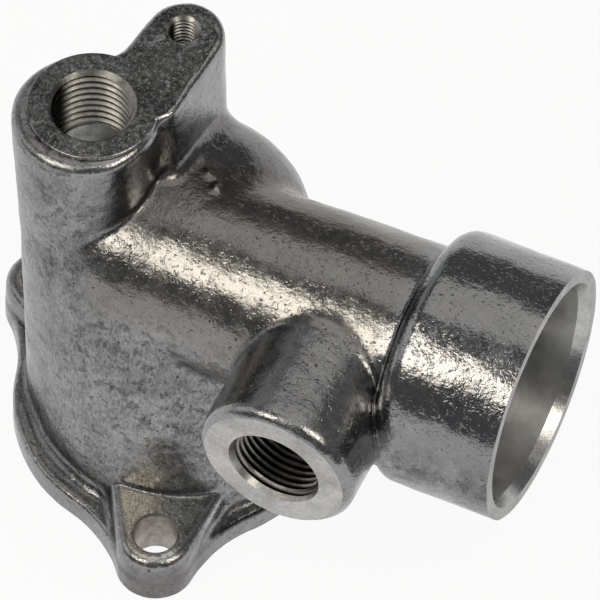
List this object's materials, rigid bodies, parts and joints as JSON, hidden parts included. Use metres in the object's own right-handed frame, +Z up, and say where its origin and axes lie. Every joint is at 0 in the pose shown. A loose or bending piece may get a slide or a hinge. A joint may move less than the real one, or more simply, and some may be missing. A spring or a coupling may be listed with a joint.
{
  "type": "engine coolant outlet housing",
  "caption": "Cast aluminium engine coolant outlet housing: flanged valve chamber, side outlet with a socket collar, tall threaded port, screw arm and threaded sensor boss.",
  "frame": {"origin": "centre of the three-hole bolt circle on the flange face", "axes": "+Z up from the flange face along the bolt holes, +X along the outlet towards its open end, so the sensor boss points to -Y"},
  "size_m": [0.1159, 0.0758, 0.0895],
  "materials": {
    "cast_aluminium": "as-cast, mottled, with machined faces"
  },
  "bodies": {
    "root": {"housing": "cast_aluminium"}
  },
  "joints": []
}
